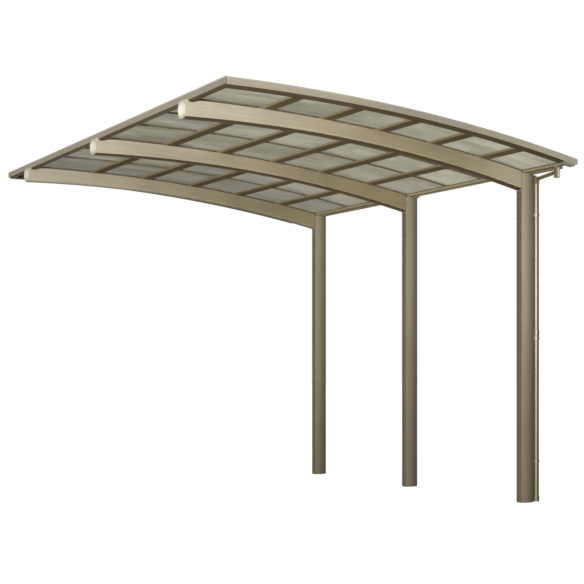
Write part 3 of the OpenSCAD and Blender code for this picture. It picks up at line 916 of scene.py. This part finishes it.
# The brackets take the dark painted-shade tone of the post sides
make("gutter_brackets", bm, post_side_shade)

# Pale noses over the ends of the verge frames: bottom, outer and inner walls, end plate
NOSE_FROM = -0.118
NOSE_WALL = 0.0008
NOSE_LAP = 0.0003
NOSE_OUT_LAP = 0.0006
NOSE_COVER_LAP = 0.0005
NOSE_IN_TOP = 0.004
OUT = HALF - COVER_WALL
LOW = -FRAME_DROP
NOSE_WALLS = (
    (FRAME_IN - NOSE_WALL, OUT + NOSE_WALL, LOW - NOSE_WALL, LOW + NOSE_LAP),
    (OUT - NOSE_OUT_LAP, OUT + NOSE_WALL, LOW, -COVER_DROP + NOSE_COVER_LAP),
    (FRAME_IN - NOSE_WALL, FRAME_IN + NOSE_LAP, LOW, NOSE_IN_TOP))
NOSE_PLATE = (FRAME_IN, OUT, LOW, -COVER_DROP)


def box_profile(side, y0, y1, z0, z1):
    return [(side * y0, z0), (side * y1, z0), (side * y1, z1), (side * y0, z1)]


bm = bmesh.new()
for side in (-1, 1):
    for wall in NOSE_WALLS:
        sweep_roof(bm, NOSE_FROM, ROOF_BACK + NOSE_WALL, box_profile(side, *wall), 8)
    sweep_roof(bm, ROOF_BACK, ROOF_BACK + NOSE_WALL, box_profile(side, *NOSE_PLATE), 2)
make("verge_noses", bm, verge_pale)

# Collars of the drain, as (out, height) steps, and screws of the pipe clips
OUTLET_COLLAR = ((-0.001, 0.0), (0.002, 0.001), (0.002, 0.0085), (-0.001, 0.0095))
OUTLET_COLLAR_Z = GUTTER_FLOOR - 0.010
TUBE_COLLAR = ((-0.001, -0.007), (0.0018, -0.006), (0.0018, 0.006), (-0.001, 0.007))
TUBE_COLLAR_IN = (0.030, 0.034)
TUBE_FALL = 0.001
CLIP_SCREW = 0.004
CLIP_SCREW_AT = (POST_FACE + 0.0031, PIPE_AT[1] + 0.040, 0.011)
bm = bmesh.new()
lathe(bm, Matrix.Translation((*OUTLET_AT, OUTLET_COLLAR_Z)),
      [(OUTLET_SIZE / 2 + out, h) for out, h in OUTLET_COLLAR], 32)
tube_from = Vector((*OUTLET_AT, TUBE_Z))
tube = Vector((*PIPE_AT, TUBE_Z - TUBE_FALL)) - tube_from
turn = tube.to_track_quat("Z", "Y").to_matrix().to_4x4()
for place in (TUBE_COLLAR_IN[0], tube.length - TUBE_COLLAR_IN[1]):
    lathe(bm, Matrix.Translation(tube_from + tube.normalized() * place) @ turn,
          [(TUBE_SIZE / 2 + out, h) for out, h in TUBE_COLLAR], 28)
make("drain_collars", bm, tube_mat)
bm = bmesh.new()
for z in CLIP_Z:
    x, y, up = CLIP_SCREW_AT
    screw(bm, Matrix.Translation((x, y, z + up)) @ FACE_BACK, CLIP_SCREW)
make("clip_screws", bm, steel)

# Floor
FLOOR = 60.0
FLOOR_Z = -0.001
FLOOR_GLOW = 0.88
FLOOR_MATT = 0.30
FLOOR_BOUNCE = 0.14
bm = bmesh.new()
bm.faces.new([bm.verts.new((sx * FLOOR, sy * FLOOR, FLOOR_Z))
              for sx, sy in ((-1, -1), (1, -1), (1, 1), (-1, 1))])
mesh = bpy.data.meshes.new("floor")
bm.to_mesh(mesh)
bm.free()
floor = bpy.data.objects.new("floor", mesh)
scene.collection.objects.link(floor)


def shown(tree):
    """1 for rays that show the background: camera, glossy and transmission rays."""
    path = put(tree, "LightPath")
    value = maths(tree, "MAXIMUM", path.outputs["Is Camera Ray"], path.outputs["Is Glossy Ray"])
    return maths(tree, "MAXIMUM", value, path.outputs["Is Transmission Ray"])


floor_mat, tree = material("floor")
glow = put(tree, "Emission", {"Color": WHITE, "Strength": FLOOR_GLOW})
matt = put(tree, "BsdfDiffuse", {"Color": grey(FLOOR_MATT)})
bounce = put(tree, "BsdfDiffuse", {"Color": grey(FLOOR_BOUNCE)})
seen = join(tree, "AddShader", glow.outputs[0], matt.outputs[0])
finish_with(tree, join(tree, "MixShader", bounce.outputs[0], seen, {"Fac": shown(tree)}))
floor.data.materials.append(floor_mat)

# Studio light: brighter from above and from the left, with a fill from behind
SKY_LEVEL = 0.22
SKY_SLOPE = (-0.24, -0.06, 0.50)
SKY_LEAST = 0.17
SKY_BEHIND = (0.56, 0.83, 0.0)
SKY_TINT = (0.97, 0.985, 1.0, 1.0)
world = bpy.data.worlds.new("world")
scene.world = world
world.use_nodes = True
tree = world.node_tree
tree.nodes.clear()
white = put(tree, "Background", {"Color": WHITE, "Strength": 1.0})
towards = put(tree, "TexCoord").outputs["Generated"]
level = maths(tree, "ADD", dot(tree, towards, SKY_SLOPE), SKY_LEVEL)
level = maths(tree, "MAXIMUM", level, SKY_LEAST)
fill = maths(tree, "MAXIMUM", dot(tree, towards, SKY_BEHIND), 0.0)
sky = put(tree, "Background", {"Color": SKY_TINT, "Strength": maths(tree, "ADD", level, fill)})
out = put(tree, "OutputWorld")
tree.links.new(join(tree, "MixShader", sky.outputs[0], white.outputs[0], {"Fac": shown(tree)}),
               out.inputs["Surface"])

# Lamp in front of the free edge
LAMP_AT = Vector((-11.6, -9.5, 0.45))
LAMP_AIM = Vector((-1.4, 0.2, 2.2))
LAMP_SIZE = (3.4, 0.7)
LAMP_POWER = 190.0
LAMP_SPREAD = math.radians(52)
lamp_data = bpy.data.lights.new("front", "AREA")
lamp_data.shape = "RECTANGLE"
lamp_data.size, lamp_data.size_y = LAMP_SIZE
lamp_data.energy = LAMP_POWER
lamp_data.spread = LAMP_SPREAD
lamp = bpy.data.objects.new("front", lamp_data)
lamp.location = LAMP_AT
lamp.rotation_euler = (LAMP_AIM - LAMP_AT).to_track_quat("-Z", "Y").to_euler()
scene.collection.objects.link(lamp)
